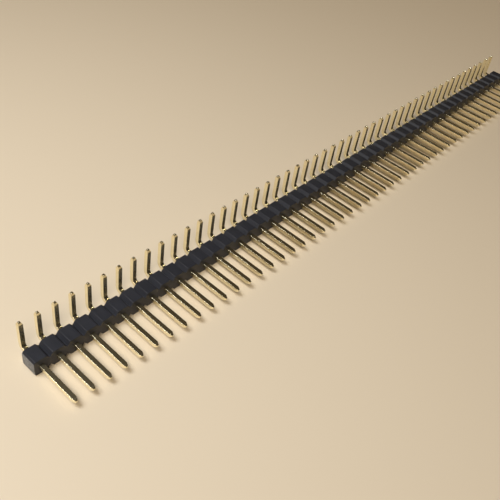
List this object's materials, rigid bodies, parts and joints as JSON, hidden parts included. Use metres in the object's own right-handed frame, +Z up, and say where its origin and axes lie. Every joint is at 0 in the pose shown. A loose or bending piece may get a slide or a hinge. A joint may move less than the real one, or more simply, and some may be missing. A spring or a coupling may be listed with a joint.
{
  "type": "right-angle pin header strip",
  "caption": "Single-row right-angle pin header: a black break-away insulator bar with a row of bent square gold-plated pins.",
  "frame": {"origin": "middle of the strip's box on the plane that the insulator rests on", "axes": "+X along the row of pins, +Y from the mating tips towards the solder tails, +Z up along the solder tails"},
  "size_m": [0.1266, 0.0114, 0.0059],
  "materials": {
    "insulator": "moulded black, semi-gloss",
    "pins": "thin pale gold plating over drawn brass wire"
  },
  "bodies": {
    "root": {"insulator": "insulator", "pin_01": "pins", "pin_02": "pins", "pin_03": "pins", "pin_04": "pins", "pin_05": "pins", "pin_06": "pins", "pin_07": "pins", "pin_08": "pins", "pin_09": "pins", "pin_10": "pins", "pin_11": "pins", "pin_12": "pins", "pin_13": "pins", "pin_14": "pins", "pin_15": "pins", "pin_16": "pins", "pin_17": "pins", "pin_18": "pins", "pin_19": "pins", "pin_20": "pins", "pin_21": "pins", "pin_22": "pins", "pin_23": "pins", "pin_24": "pins", "pin_25": "pins", "pin_26": "pins", "pin_27": "pins", "pin_28": "pins", "pin_29": "pins", "pin_30": "pins", "pin_31": "pins", "pin_32": "pins", "pin_33": "pins", "pin_34": "pins", "pin_35": "pins", "pin_36": "pins", "pin_37": "pins", "pin_38": "pins", "pin_39": "pins", "pin_40": "pins", "pin_41": "pins", "pin_42": "pins", "pin_43": "pins", "pin_44": "pins", "pin_45": "pins", "pin_46": "pins", "pin_47": "pins", "pin_48": "pins", "pin_49": "pins", "pin_50": "pins"}
  },
  "joints": []
}
